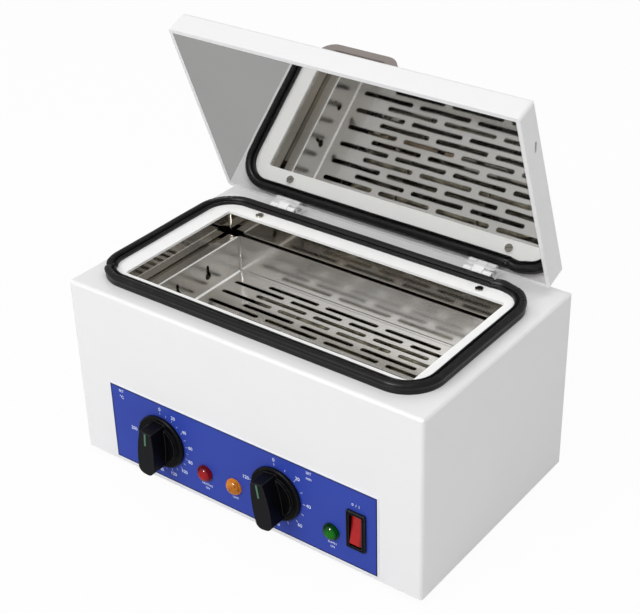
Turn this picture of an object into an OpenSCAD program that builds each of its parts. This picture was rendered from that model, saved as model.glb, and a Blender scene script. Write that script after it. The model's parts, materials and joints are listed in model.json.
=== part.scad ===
// Bench-top dry heat sterilizer with a hinged lid, shown with the lid open.
// X runs to the right, Y to the back and Z up. The origin is under the middle of the whole object,
// on the surface that it stands on.

/* [Casing] */
// Width of the casing
body_w = 300; // [286:1:330]
// Depth of the strip behind the hinges
back_strip = 4.9; // [3:0.1:20]
// Room between the switchgear and the chamber's insulation
gear_room = 10.8; // [4:0.1:40]
// Radius of the folded edges
bend_r = 2.5; // [1.8:0.1:4]
// Thickness of the painted sheet
sheet_t = 1.2; // [0.8:0.1:1.5]
// Height of the feet below the casing
foot_h = 4; // [3:0.5:8]
// Radius of a foot
foot_r = 8; // [6:0.5:12]
// Distance of the feet from the casing's edges
foot_inset = 20; // [16:1:30]
// Height of the upturned edge of the base plate
plate_lip = 12; // [8:1:16]
// Width of a vent slot
vent_w = 3.2; // [2:0.1:4]
// Length of a vent slot
vent_l = 22; // [12:1:26]
// Size of the casing's inner ears, which the feet and the base plate are screwed to
ear_w = 18; // [14:1:22]
// Number of vent slots in a group
vent_n = 8; // [4:1:10]
// Distance of the base plate's vents from the casing's sides
vent_in = 80; // [70:1:90]
// Distance of the base plate's screws from the casing's sides
lip_screw_in = 30; // [24:1:50]

/* [Lid] */
// Angle that the lid stands open at
lid_open = 69.3; // [60:0.1:85]
// Distance of the closed lid's sides from the casing's sides
lid_side = 8.3; // [7.5:0.1:12]
// Depth of the lid
lid_d = 153.6; // [140:0.2:180]
// Thickness of the lid
lid_t = 19.1; // [15:0.1:25]
// Distance of the closed lid's front edge behind the casing's front
lid_front = 8.3; // [6:0.1:10]
// Height of the closed lid's underside above the casing
lid_gap = 8.3; // [8:0.1:9]
// Width of the painted lip around the lid's mirror
lid_lip = 3; // [2.4:0.1:5]
// Thickness of the lid's mirror plate
mirror_t = 0.8; // [0.6:0.1:1.2]
// Depth of the mirror plate's upturned edge
mirror_edge = 6; // [4:0.5:9]
// Length of the slot in each side of the lid
side_slot_l = 8; // [5:0.5:12]
// Width of the slot in each side of the lid
side_slot_w = 2.4; // [1.6:0.1:3]
// Distance of that slot from the lid's front
side_slot_y = 33; // [20:1:60]

/* [Lid handle] */
// Overall length of the handle
handle_l = 64; // [50:1:90]
// Height of the handle
handle_h = 17.5; // [15:0.5:26]
// Width of the handle
handle_w = 12; // [9:0.5:16]
// Thickness of the grip
handle_t = 5.5; // [4:0.5:7]
// Length of each leg along the lid
handle_leg = 8; // [7:0.5:11]
// Radius of the handle's outer corners
handle_r = 12; // [8:0.5:13]
// Distance of the handle's middle from the lid's front
handle_y = 18.5; // [14:0.5:30]

/* [Hinges] */
// Distance of each hinge's middle from the casing's sides
hinge_in = 64; // [50:1:90]
// Width of a hinge
hinge_w = 22; // [18:1:32]
// Radius of the knuckles
knuckle_r = 3.1; // [2.6:0.1:3.3]
// Thickness of the leaves
leaf_t = 1.1; // [0.8:0.1:1.2]
// Length of the leaf on the casing
base_leaf = 15; // [12:0.5:16]
// Length of the leaf on the lid's back
lid_leaf = 14; // [10:0.5:15]
// Radius of the hinge pin
pin_r = 1.5; // [1.2:0.1:1.7]
// Height of the hinge axis above the casing
hinge_up = 4.6; // [4.5:0.1:5]
// Distance of the hinge axis behind the closed lid
hinge_back = 3.2; // [3.2:0.1:3.8]

/* [Gasket] */
// Width of the gasket
gasket_w = 8.4; // [8:0.1:10]
// Height of the gasket
gasket_h = 8; // [7:0.1:8]
// Radius of the gasket's bulb
gasket_bulb = 2.8; // [2.4:0.1:3]
// Thickness of the gasket's inner lip
gasket_lip = 1.5; // [1:0.1:1.8]
// Height of the gasket's inner lip
gasket_lip_h = 6.4; // [5.6:0.1:7]
// Thickness of the gasket under its groove
gasket_web = 0.9; // [0.6:0.1:1.2]
// Distance of the gasket's outer face from the casing's sides
gasket_side = 9.5; // [8:0.1:12]
// How far the gasket stands left of the middle
gasket_x = 1.5; // [0:0.1:1.5]
// Distance of the gasket's outer face from the casing's front
gasket_front = 12.3; // [10:0.1:14]
// Distance of the gasket's outer face from the closed lid's back
gasket_back = 0.2; // [0.2:0.1:4]
// Radius of the gasket's outer corners
gasket_r = 28; // [20:1:32]

/* [Chamber] */
// Distance of the chamber's opening from the gasket's left outer face
chamber_left = 22.5; // [18:0.1:30]
// Distance of the opening from the gasket's right outer face
chamber_right = 16.5; // [16:0.1:30]
// Distance of the opening from the gasket's front outer face
chamber_front = 14.2; // [13:0.1:20]
// Distance of the opening from the gasket's back outer face
chamber_back = 20.8; // [20:0.1:26]
// Radius of the chamber's edges
chamber_r = 2; // [1.5:0.1:4]
// Depth of the chamber tub below its rim
tub_h = 66; // [60:1:72]
// Thickness of the stainless sheet
tub_t = 0.8; // [0.6:0.1:1]
// Height of the rim above the casing
rim_h = 3.6; // [3:0.1:4]
// Depth of the rim's turned-down edge around the opening
rim_fold = 1.9; // [1.4:0.1:2.4]
// Width of the rim hidden under the gasket
rim_under = 3; // [2:0.1:4]
// Thickness of the insulation
wool_t = 11; // [8:0.5:12]
// Distance of each rim screw from the opening's end
rim_screw_in = 24.5; // [16:0.5:60]
// Distance of the rim screws behind the opening
rim_screw_y = 6.4; // [5:0.1:7]

/* [Slotted tray] */
// Gap between the tray's flanges and the chamber's ends
tray_end_gap = 1.6; // [1:0.1:3]
// Gap between the tray and the chamber's front and back
tray_gap = 2; // [1:0.1:4]
// Height of the tray's walls
tray_h = 30; // [24:1:34]
// Depth of the tray's floor below the casing's top
tray_down = 43.5; // [40:0.5:48]
// Width of the flange along each side of the tray
tray_flange = 7.6; // [5:0.2:8]
// Thickness of the tray's sheet
tray_t = 0.8; // [0.6:0.1:1]
// Inner radius of the tray's edges
tray_r = 1.6; // [1:0.1:3]
// Length of a floor slot
slot_l = 46.8; // [40:0.2:48]
// Width of a floor slot
slot_w = 4; // [3:0.1:4.6]
// Distance from one slot to the next in a row
slot_pitch = 53.3; // [52:0.1:55]
// Distance between rows
row_pitch = 7.72; // [7:0.01:8]
// Radius of a keyhole's round end
key_r = 3.1; // [2.2:0.1:3.6]
// Width of a keyhole's slot
key_w = 2.8; // [1.6:0.1:3.2]
// Height of a keyhole's round end above the floor
key_z = 12.5; // [10:0.5:15]
// Height of a keyhole from its round end's middle to its top
key_l = 9; // [6:0.5:12]
// Distance between the two keyholes of a side
key_pitch = 34; // [24:1:50]

/* [Heater] */
// Radius of the heating tube
heat_r = 3.2; // [2.5:0.1:4]
// Radius of the heating tube's narrow bends
heat_bend = 5.1; // [4.5:0.1:6]
// Distance from one narrow bend to the next
heat_pitch = 33.4; // [28:0.2:34]
// Distance of the heating tube from the chamber's back
heat_back = 9.2; // [6:0.1:14]
// How far the heating tube stands behind the chamber's middle
heat_shift = 6.3; // [0:0.1:7]
// Length of the heating tube's straight runs
heat_l = 148; // [120:1:160]
// Depth of the heating tube's middle below the tray's floor
heat_down = 9; // [7:0.5:11]
// Radius of the temperature sensor
bulb_r = 2.5; // [2:0.1:3]
// Length of the temperature sensor
bulb_l = 70; // [40:1:90]

/* [Control panel] */
// Distance of the panel from the casing's left side
panel_left = 30; // [20:0.2:40]
// Distance of the panel from the casing's right side
panel_right = 33.4; // [20:0.2:40]
// Height of the control panel
panel_h = 66.8; // [64:0.2:70]
// Thickness of the control panel's foil
panel_t = 0.5; // [0.3:0.1:1]
// Height of the panel's lower edge above the casing's lower edge
panel_z = 2.5; // [2:0.1:8]
// Height of the knobs above the casing's lower edge
knob_z = 36; // [32:0.5:40]
// Place of the thermostat's knob across the panel, in panel widths from its middle
thermostat_at = -0.296; // [-0.32:0.001:-0.28]
// Place of the timer's knob across the panel
timer_at = 0.144; // [0.13:0.001:0.16]
// Place of the red lamp across the panel
red_at = -0.128; // [-0.15:0.001:-0.11]
// Place of the orange lamp across the panel
orange_at = -0.016; // [-0.03:0.001:0]
// Place of the green lamp across the panel
green_at = 0.339; // [0.3:0.001:0.35]
// Height of the lamps above the casing's lower edge
lamp_z = 24.8; // [20:0.1:28]
// Radius of the dials' threaded necks
neck_r = 4.8; // [4:0.1:6]
// Radius of a lamp's neck
lamp_r = 4.9; // [3.8:0.1:5]
// Length of a lamp's body behind the casing's front
lamp_l = 22; // [14:1:26]
// Radius of a lamp's lens
lens_r = 6.4; // [5:0.1:7]
// How far a lamp's lens stands out
lens_h = 5.4; // [4:0.1:7]

/* [Knobs] */
// Radius of a knob's skirt
knob_r = 21; // [18:0.1:22]
// Thickness of the skirt
skirt_t = 2.4; // [1.8:0.1:4]
// Radius of the step above the skirt
step_r = 15.5; // [13:0.1:17]
// How far the knob's bar stands out from the casing
knob_h = 18.6; // [15:0.1:24]
// Width of the bar at its widest
bar_w = 14.6; // [12:0.1:17]
// Width of the bar at its pointer's end
bar_tip_w = 9.8; // [8:0.1:11.8]
// Distance of the pointer's end from the knob's middle
bar_tip = 17.6; // [15:0.1:19]
// Distance of the bar's round end from the knob's middle
bar_tail = 19.2; // [16:0.1:20.5]
// Radius of the corners of the round end
bar_tail_r = 6; // [3:0.5:7]
// Distance of the bar's widest place below the knob's middle
bar_low = 4; // [0:0.5:8]
// Angle of the thermostat's pointer, clockwise from the top
thermostat_turn = 4; // [0:1:270]
// Angle of the timer's pointer, clockwise from the top
timer_turn = -9; // [-30:1:270]
// Radius of a spindle
spindle_r = 3; // [2.5:0.1:4]

/* [Switchgear] */
// Width of the thermostat's case
thermostat_case_w = 42; // [30:1:44]
// Height of the thermostat's case
thermostat_case_h = 40; // [30:1:44]
// Depth of the thermostat's case
thermostat_case_d = 26; // [18:1:32]
// Width and height of the timer's case
timer_case = 44; // [36:1:46]
// Depth of the timer's case
timer_case_d = 32; // [20:1:36]
// Radius of the capillary tube
capillary_r = 0.9; // [0.6:0.1:1.2]
// Distance of the capillary tube behind the casing's front
capillary_in = 16; // [8:1:24]
// Length of the terminal block
terminal_l = 40; // [36:1:48]
// Width of the terminal block
terminal_w = 16; // [14:1:20]
// Distance from one terminal to the next
terminal_pitch = 11; // [9:0.5:12]
// Distance of the terminal block's middle from the casing's back
terminal_in = 30; // [20:1:40]

/* [Switch] */
// Place of the switch across the panel, in panel widths from its middle
switch_at = 0.426; // [0.4:0.001:0.43]
// Height of the switch above the casing's lower edge
switch_z = 34.8; // [32:0.1:40]
// Width of the switch's frame
switch_w = 15.4; // [14:0.1:18]
// Height of the switch's frame
switch_h = 31; // [30:0.1:34]
// How far the frame stands out from the panel
switch_out = 2; // [1.6:0.1:3]
// Swing radius of the rocker
rocker_r = 12.8; // [11:0.1:12.8]
// Width of the rocker
rocker_w = 9.6; // [9:0.1:11.4]
// Angle that the rocker tilts to each side
rocker_tilt = 8.5; // [6:0.5:10]
// Slope of each half of the rocker's face
rocker_slope = 3; // [1:0.5:6]
// Depth of the rocker's axis behind the casing's front
rocker_deep = 4; // [3.5:0.1:5]

/* [Mains inlet] */
// Distance of the inlet's middle from the casing's right side, seen from the front
inlet_in = 62; // [50:1:90]
// Height of the inlet above the casing's lower edge
inlet_z = 34; // [26:1:44]
// Width of the inlet's flange
inlet_w = 50; // [46:1:54]
// Height of the inlet's flange
inlet_h = 24; // [22:0.5:27]

/* [Fits] */
// Gap around a piece that is dropped in
fit = 0.3; // [0.1:0.05:0.5]
// Gap between the knobs and the panel
knob_gap = 0.5; // [0.3:0.1:1]
// Radial running gap of pins and spindles
run = 0.06; // [0.02:0.01:0.1]

/* [Hidden] */
$fn = 64;
eps = 0.02;

// Places in the frame. The object reaches from the knobs to the inlet's screws or the open lid.
inlet_t = 3;
inlet_head = 1.4;
body_d = lid_front + lid_d + hinge_back + base_leaf + back_strip;
body_h = knob_z + timer_case/2 + gear_room + wool_t + tub_t + tub_h - rim_h;
lid_w = body_w - 2*lid_side;
hinge_x = body_w/2 - hinge_in;
inlet_x = body_w/2 - inlet_in;
hinge_from_front = lid_front + lid_d + hinge_back;
lid_reach = hinge_from_front - hinge_back*cos(lid_open) + (lid_gap - hinge_up + lid_t)*sin(lid_open);
front_y = (knob_h - max(lid_reach, body_d + inlet_t + inlet_head))/2;
back_y = front_y + body_d;
mid_y = (front_y + back_y)/2;
base_z = foot_h;
top_z = base_z + body_h;
hinge_y = front_y + hinge_from_front;
hinge_z = top_z + hinge_up;
lid_back_y = hinge_y - hinge_back;
lid_mid_y = lid_back_y - lid_d/2;
lid_z = top_z + lid_gap;
gasket_outer_w = body_w - 2*gasket_side;
gasket_d = lid_front + lid_d - gasket_front - gasket_back;
gasket_y = front_y + gasket_front + gasket_d/2;
chamber_w = gasket_outer_w - chamber_left - chamber_right;
chamber_d = gasket_d - chamber_front - chamber_back;
chamber_x = (chamber_left - chamber_right)/2 - gasket_x;
chamber_y = front_y + gasket_front + chamber_front + chamber_d/2;
rim_z = top_z + rim_h;
tub_floor = rim_z - tub_h;
rim_w = gasket_outer_w - 2*(gasket_w - rim_under);
rim_d = gasket_d - 2*(gasket_w - rim_under);
rim_r = gasket_r - gasket_w + rim_under;
tray_w = chamber_w - 2*(tray_end_gap + tray_flange + tray_t);
tray_d = chamber_d - 2*(tray_gap + tray_t);
tray_z = top_z - tray_down;
heat_z = tray_z - tray_t - heat_down;
panel_w = body_w - panel_left - panel_right;
panel_x = (panel_left - panel_right)/2;
thermostat_x = panel_x + thermostat_at*panel_w;
timer_x = panel_x + timer_at*panel_w;
red_x = panel_x + red_at*panel_w;
orange_x = panel_x + orange_at*panel_w;
green_x = panel_x + green_at*panel_w;
switch_x = panel_x + switch_at*panel_w;
knob_up = base_z + knob_z;
lamp_up = base_z + lamp_z;
switch_up = base_z + switch_z;
inlet_up = base_z + inlet_z;
inner_back = back_y - sheet_t;
plate_top = base_z + sheet_t;
ear_x = body_w/2 - sheet_t - foot_inset - ear_w/2 + eps;
heat_y = chamber_y + heat_shift;
heat_room = chamber_d/2 - heat_shift - heat_back - heat_r - heat_bend;
heat_n = max(2, floor(2*heat_room/heat_pitch + 1 + eps));
heat_reach = 6;
heat_end_x = chamber_x + heat_l/2 + heat_reach;
heat_end_y = (heat_n - 1)/2*heat_pitch + heat_bend;
sensor_y = heat_y - (heat_n % 2)*heat_pitch/2;
sensor_x = chamber_x - heat_l/2 + bulb_l/2 - 2.5;
drop_x = sensor_x - bulb_l/2 - 12;
capillary_x = thermostat_x - thermostat_case_w/4;
capillary_y = front_y + sheet_t + capillary_in;
rim_screw_x = chamber_w/2 - rim_screw_in;
screw_r = 2;
head_r = 3.4;
head_h = 1.6;

// A rectangle with round corners
module round_rect(w, h, r) {
  square([w - 2*r, h], center = true);
  square([w, h - 2*r], center = true);
  for (x = [-1, 1], y = [-1, 1]) translate([x*(w/2 - r), y*(h/2 - r)]) circle(r);
}

// A slot with round ends, along X
module slot(l, w) {
  square([l - w, w], center = true);
  for (s = [-1, 1]) translate([s*(l - w)/2, 0]) circle(w/2);
}

// A block with its base at z = 0 and all its edges rounded
module round_block(w, d, h, r) {
  intersection() {
    linear_extrude(h) round_rect(w, d, r);
    translate([0, d/2, h/2]) rotate([90, 0, 0]) linear_extrude(d) round_rect(w, h, r);
    translate([-w/2, 0, h/2]) rotate([90, 0, 90]) linear_extrude(w) round_rect(d, h, r);
  }
}

// A ring that carries a section around a rectangle with round corners. The section's x is measured
// outwards from the corner's middle, so it reaches to r.
module section_ring(w, d, r) {
  for (s = [0, 1]) mirror([0, s, 0])
    translate([-w/2 + r, d/2 - r, 0]) rotate([90, 0, 90]) linear_extrude(w - 2*r) children();
  for (s = [0, 1]) mirror([s, 0, 0])
    translate([w/2 - r, d/2 - r, 0]) rotate([90, 0, 0]) linear_extrude(d - 2*r) children();
  for (s = [0, 1], q = [0, 1]) mirror([s, 0, 0]) mirror([0, q, 0])
    translate([w/2 - r, d/2 - r, 0]) rotate_extrude(angle = 90) children();
}

// Turns what is drawn for the closed lid to where the lid stands
module on_lid() {
  translate([0, hinge_y, hinge_z]) rotate([-lid_open, 0, 0]) translate([0, -hinge_y, -hinge_z]) children();
}

// Puts what is drawn facing up on the casing's front, facing forward
module on_front(x, z) { translate([x, front_y, z]) rotate([90, 0, 0]) children(); }

// Puts what is drawn facing up on the casing's back, facing back
module on_back(x, z) { translate([x, back_y, z]) rotate([-90, 0, 0]) children(); }

// A slotted pan-head screw whose head stands on z = 0
module screw(l, r = screw_r, head = head_r, h = head_h) {
  difference() {
    union() {
      translate([0, 0, -l]) cylinder(h = l + eps, r = r);
      cylinder(h = h, r = head);
    }
    translate([-head, -0.4, h - 0.7]) cube([2*head, 0.8, 1]);
  }
}

module feet_places() {
  for (x = [-1, 1], y = [-1, 1])
    translate([x*(body_w/2 - foot_inset), mid_y + y*(body_d/2 - foot_inset), 0]) children();
}

module lip_screw_places() {
  for (x = [-1, 0, 1]) on_back(x*(body_w/2 - lip_screw_in), base_z + plate_lip/2) children();
}

module rim_screw_places(z) {
  for (s = [-1, 1])
    translate([chamber_x + s*rim_screw_x, chamber_y + chamber_d/2 + rim_screw_y, z]) children();
}

module hinge_places() { for (s = [-1, 1]) translate([s*hinge_x, 0, 0]) children(); }

module vents(n, w, l, pitch) {
  for (i = [0:n - 1]) translate([(i - (n - 1)/2)*pitch, 0]) rotate(90) slot(l, w);
}

// Casing

module casing_cuts() {
  translate([chamber_x, chamber_y, top_z - 5])
    linear_extrude(10) round_rect(chamber_w + 2*tub_t + 2*fit, chamber_d + 2*tub_t + 2*fit, 2);
  for (x = [thermostat_x, timer_x]) on_front(x, knob_up) translate([0, 0, -5])
    cylinder(h = 10, r = neck_r + 0.2);
  for (x = [red_x, orange_x, green_x]) on_front(x, lamp_up) translate([0, 0, -5])
    cylinder(h = 10, r = lamp_r + fit);
  on_front(switch_x, switch_up) translate([0, 0, -5])
    linear_extrude(10) square([switch_w - 1.8, switch_h - 2.6], center = true);
  on_back(inlet_x, inlet_up) translate([0, 0, -5]) linear_extrude(10) square([28, 20.4], center = true);
  for (s = [-1, 1]) on_back(inlet_x + s*20, inlet_up) translate([0, 0, -5]) cylinder(h = 10, r = 1.6);
  for (x = [-60, 0]) on_back(x, base_z + 35) translate([0, 0, -5]) linear_extrude(10)
    vents(vent_n, vent_w, vent_l, 6.4);
  lip_screw_places() translate([0, 0, -5]) cylinder(h = 10, r = 1.6);
  hinge_places() for (x = [-1, 1])
    translate([x*(hinge_w/2 - 5), hinge_y + base_leaf - 4.5, top_z - 5]) cylinder(h = 10, r = 1.3);
  rim_screw_places(top_z - 5) cylinder(h = 10, r = 1.6);
}

module outer_casing() {
  color([0.93, 0.93, 0.94]) difference() {
    translate([0, mid_y, base_z]) difference() {
      translate([0, 0, -bend_r]) round_block(body_w, body_d, body_h + bend_r, bend_r);
      translate([0, 0, -2*bend_r]) linear_extrude(2*bend_r) square([body_w + 2, body_d + 2], center = true);
      translate([0, 0, -bend_r - 1])
        round_block(body_w - 2*sheet_t, body_d - 2*sheet_t, body_h - sheet_t + bend_r + 1, bend_r - sheet_t);
    }
    casing_cuts();
  }
  color([0.93, 0.93, 0.94]) difference() {
    for (s = [0, 1]) mirror([s, 0, 0]) for (y = [-1, 1])
      translate([ear_x, mid_y + y*(body_d/2 - foot_inset) - ear_w/2, plate_top])
        cube([foot_inset + ear_w/2, ear_w, sheet_t]);
    feet_places() translate([0, 0, plate_top - 1]) cylinder(h = 5, r = screw_r + 0.1);
  }
}

module base_plate() {
  w = body_w - 2*sheet_t - 2*fit;
  d = body_d - 2*sheet_t - 2*fit;
  color([0.72, 0.73, 0.74]) difference() {
    translate([0, mid_y, base_z]) difference() {
      linear_extrude(plate_lip) square([w, d], center = true);
      translate([0, 0, sheet_t]) linear_extrude(plate_lip) square([w + 1, d - 2*sheet_t], center = true);
      for (x = [-1, 1], y = [-40, 0, 40]) translate([x*(body_w/2 - vent_in), y, -1])
        linear_extrude(5) vents(vent_n, vent_w, vent_l, 8);
    }
    feet_places() translate([0, 0, base_z - 1]) cylinder(h = 5, r = screw_r + 0.1);
    lip_screw_places() translate([0, 0, -8]) cylinder(h = 10, r = 1.3);
    translate([inlet_x - 30, inner_back - 35, base_z - 1]) cylinder(h = 5, r = screw_r + 0.1);
    terminal_place(base_z - 1) for (x = [-1, 1]) translate([x*terminal_hole_x, 0, 0])
      cylinder(h = 5, r = 1.6);
  }
}

module feet() {
  color([0.12, 0.12, 0.12]) feet_places() rotate_extrude() difference() {
    polygon([[0, 0], [foot_r - 0.8, 0], [foot_r, 0.8], [foot_r, foot_h], [0, foot_h]]);
    translate([-1, -1]) square([1 + screw_r + 0.1, foot_h + 2]);
    translate([-1, -1]) square([1 + head_r + 0.3, 1 + foot_h - 1.6]);
  }
}

module foot_screws() {
  color([0.6, 0.6, 0.62]) feet_places() translate([0, 0, foot_h - 1.6]) mirror([0, 0, 1]) screw(foot_h + 6);
}

module base_plate_screws() {
  color([0.75, 0.75, 0.77]) lip_screw_places() screw(5, 1.2, 2.8, 1.3);
}

// Chamber

module tub_outline(grow, r) { round_rect(chamber_w + 2*grow, chamber_d + 2*grow, r); }

// A painted frame with its outer and inner edges turned down, which holds the tub
module chamber_rim() {
  t = sheet_t;
  color([0.93, 0.93, 0.94]) difference() {
    union() {
      translate([-gasket_x, gasket_y, rim_z - t]) linear_extrude(t) round_rect(rim_w, rim_d, rim_r);
      translate([-gasket_x, gasket_y, top_z]) linear_extrude(rim_h - eps) difference() {
        round_rect(rim_w, rim_d, rim_r);
        round_rect(rim_w - 2*t, rim_d - 2*t, rim_r - t);
      }
      translate([chamber_x, chamber_y, rim_z - rim_fold]) linear_extrude(rim_fold - eps)
        tub_outline(t, chamber_r + t);
    }
    translate([chamber_x, chamber_y, top_z - 1]) linear_extrude(rim_h + 2) tub_outline(0, chamber_r);
    rim_screw_places(top_z) cylinder(h = 5, r = 1.7);
  }
}

module chamber_tub() {
  w = tub_t;
  flange_in = 2*(sheet_t + fit);
  flange_z = rim_z - rim_fold - w;
  color([0.83, 0.83, 0.82]) difference() {
    union() {
      translate([-gasket_x, gasket_y, flange_z]) linear_extrude(w)
        round_rect(rim_w - flange_in, rim_d - flange_in, rim_r - flange_in/2);
      translate([chamber_x, chamber_y, tub_floor - w]) intersection() {
        round_block(chamber_w + 2*w, chamber_d + 2*w, tub_h + 20, chamber_r + w);
        translate([0, 0, -1]) linear_extrude(flange_z - tub_floor + w + 1 + w/2)
          tub_outline(w + 1, chamber_r);
      }
    }
    translate([chamber_x, chamber_y, tub_floor]) round_block(chamber_w, chamber_d, tub_h + 20, chamber_r);
    rim_screw_places(flange_z - 2) cylinder(h = 5, r = 1.7);
    for (s = [-1, 1]) translate([heat_end_x, heat_y + s*heat_end_y, tub_floor - 2]) cylinder(h = 4, r = 5);
    translate([drop_x, sensor_y, tub_floor - 2]) cylinder(h = 4, r = 1.6);
  }
}

module rim_screws() {
  color([0.8, 0.8, 0.8]) rim_screw_places(rim_z) rotate(-20) screw(8, 1.5, 3, 1.1);
}

module chamber_insulation() {
  color([0.86, 0.84, 0.74]) difference() {
    translate([chamber_x, chamber_y, tub_floor - tub_t - wool_t])
      linear_extrude(top_z - sheet_t - fit - tub_floor + tub_t + wool_t) tub_outline(tub_t + wool_t, 8);
    translate([chamber_x, chamber_y, tub_floor - tub_t]) linear_extrude(tub_h + 10)
      tub_outline(tub_t + fit/2, chamber_r + tub_t);
    for (s = [-1, 1]) translate([heat_end_x, heat_y + s*heat_end_y, tub_floor - wool_t - 3])
      cylinder(h = wool_t + 5, r = 7);
    translate([drop_x, sensor_y, tub_floor - wool_t - 3]) cylinder(h = wool_t + 5, r = 3);
    translate([cutout_x, chamber_y, tub_floor - wool_t - 3]) cylinder(h = wool_t + 5, r = 15);
    rim_screw_places(rim_z - 9) cylinder(h = 12, r = 2.4);
  }
}

// Two angles on the tub's ends, which the tray's side flanges lie on
module tray_rests() {
  z = tray_z + tray_h - tray_t;
  color([0.78, 0.78, 0.77]) for (s = [-1, 1]) translate([chamber_x + s*chamber_w/2, chamber_y, z])
    rotate([90, 0, 0]) linear_extrude(tray_d - 20, center = true)
      mirror([s < 0 ? 0 : 1, 0]) polygon([[0, 0], [7, 0], [7, -1], [1, -1], [1, -8], [0, -8]]);
}

module tray_slots() {
  rows = floor((tray_d/2 - slot_w/2 - tray_r)/row_pitch);
  most = floor((tray_w - 2*tray_r - slot_l)/slot_pitch) + 1;
  for (row = [-rows:rows]) {
    count = (row + rows) % 2 == 0 ? most - 1 : most;
    for (k = [0:count - 1]) translate([(k - (count - 1)/2)*slot_pitch, row*row_pitch]) slot(slot_l, slot_w);
  }
}

module keyhole() {
  circle(key_r);
  translate([-key_w/2, 0]) square([key_w, key_l - key_w/2]);
  translate([0, key_l - key_w/2]) circle(key_w/2);
}

module slotted_tray() {
  t = tray_t;
  color([0.78, 0.77, 0.75]) translate([chamber_x + tray_x, chamber_y, tray_z]) difference() {
    union() {
      translate([0, 0, -t]) intersection() {
        round_block(tray_w + 2*t, tray_d + 2*t, tray_h + 20, tray_r + t);
        linear_extrude(tray_h + t) square([tray_w + 4*t, tray_d + 4*t], center = true);
      }
      translate([0, 0, tray_h - t]) linear_extrude(t)
        square([tray_w + 2*t + 2*tray_flange, tray_d - 4], center = true);
    }
    round_block(tray_w, tray_d, tray_h + 20, tray_r);
    translate([0, 0, -2*t]) linear_extrude(3*t) tray_slots();
    for (y = [-1, 1]) translate([-tray_w/2 - 2, y*key_pitch/2, key_z]) rotate([90, 0, 90])
      linear_extrude(tray_w + 4) keyhole();
  }
}

// Heater

cutout_x = chamber_x + 30;
tray_x = 0.7;

module heat_tube(l) { rotate([0, 90, 0]) cylinder(h = l, r = heat_r); }

module heat_turn(r) { rotate_extrude(angle = 180) translate([r, 0]) circle(heat_r); }

module heating_element() {
  last = (heat_n - 1)/2;
  color([0.32, 0.31, 0.3]) translate([chamber_x, heat_y, heat_z]) {
    for (k = [-last:last], s = [-1, 1])
      translate([-heat_l/2, k*heat_pitch + s*heat_bend, 0])
        heat_tube(heat_l + (k*s == last ? heat_reach : 0));
    for (k = [-last:last]) translate([-heat_l/2, k*heat_pitch, 0]) rotate(90) heat_turn(heat_bend);
    for (k = [-last:last - 1]) translate([heat_l/2, (k + 0.5)*heat_pitch, 0]) rotate(-90)
      heat_turn(heat_pitch/2 - heat_bend);
    for (s = [-1, 1]) translate([heat_l/2 + heat_reach, s*heat_end_y, 0]) {
      sphere(heat_r);
      translate([0, 0, -26]) cylinder(h = 26, r = heat_r);
      translate([0, 0, tub_floor - heat_z]) cylinder(h = 1.4, r = 6.4);
      translate([0, 0, tub_floor - tub_t - heat_z - 1.6]) cylinder(h = 1.6, r = 6);
      translate([0, 0, -34]) cylinder(h = 10, r = 1.2);
    }
  }
}

module element_clips() {
  last = (heat_n - 1)/2;
  top = heat_z + heat_r + 1.5;
  reach = heat_end_y + heat_r + 2;
  color([0.7, 0.7, 0.69]) for (x = [-1, 1])
    translate([chamber_x + x*heat_l/4, heat_y, tub_floor]) difference() {
      translate([-0.5, -reach, 0]) cube([1, 2*reach, top - tub_floor]);
      for (k = [-last:last], s = [-1, 1]) translate([-2, k*heat_pitch + s*heat_bend, heat_z - tub_floor])
        rotate([0, 90, 0]) cylinder(h = 4, r = heat_r + 0.2);
      translate([-2, sensor_y - heat_y, heat_z - tub_floor]) rotate([0, 90, 0])
        cylinder(h = 4, r = bulb_r + 3);
    }
}

module temperature_sensor() {
  color([0.72, 0.6, 0.42]) translate([sensor_x - bulb_l/2, sensor_y, heat_z]) rotate([0, 90, 0])
    cylinder(h = bulb_l, r = bulb_r);
}

module sensor_clips() {
  color([0.7, 0.7, 0.69]) for (s = [-1, 1])
    translate([sensor_x + s*bulb_l/3, sensor_y, tub_floor]) difference() {
      translate([-3, -bulb_r - 1.2, 0]) cube([6, 2*bulb_r + 2.4, heat_z - tub_floor + bulb_r + 1]);
      translate([-4, 0, heat_z - tub_floor]) rotate([0, 90, 0]) cylinder(h = 8, r = bulb_r + 0.1);
      translate([-4, -bulb_r - 0.2, -1]) cube([8, 2*bulb_r + 0.4, heat_z - tub_floor - bulb_r]);
    }
}

module capillary_tube() {
  r = capillary_r;
  drop = tub_floor - tub_t - wool_t - 5;
  thermostat_top = knob_up + thermostat_case_h/2;
  bends = [
    [drop_x, sensor_y, heat_z], [drop_x, sensor_y, drop],
    [drop_x, capillary_y, drop], [capillary_x, capillary_y, drop]
  ];
  color([0.72, 0.5, 0.32]) {
    translate(bends[0]) rotate([0, 90, 0]) cylinder(h = sensor_x - bulb_l/2 - drop_x, r = r);
    translate(bends[1]) cylinder(h = heat_z - drop, r = r);
    translate(bends[2]) rotate([-90, 0, 0]) cylinder(h = sensor_y - capillary_y, r = r);
    translate([min(drop_x, capillary_x), capillary_y, drop]) rotate([0, 90, 0])
      cylinder(h = abs(capillary_x - drop_x), r = r);
    translate([capillary_x, capillary_y, thermostat_top]) cylinder(h = drop - thermostat_top, r = r);
    for (p = bends) translate(p) sphere(r);
  }
}

module overheat_cutout() {
  z = tub_floor - tub_t;
  color([0.2, 0.2, 0.2]) translate([cutout_x, chamber_y, 0]) {
    translate([0, 0, z - 1.2]) linear_extrude(1.2) slot(26, 8);
    translate([0, 0, z - 11]) cylinder(h = 10, r = 8);
    for (s = [-1, 1]) translate([s*4 - 0.4, -3.1, z - 18]) cube([0.8, 6.2, 8]);
  }
}

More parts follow.
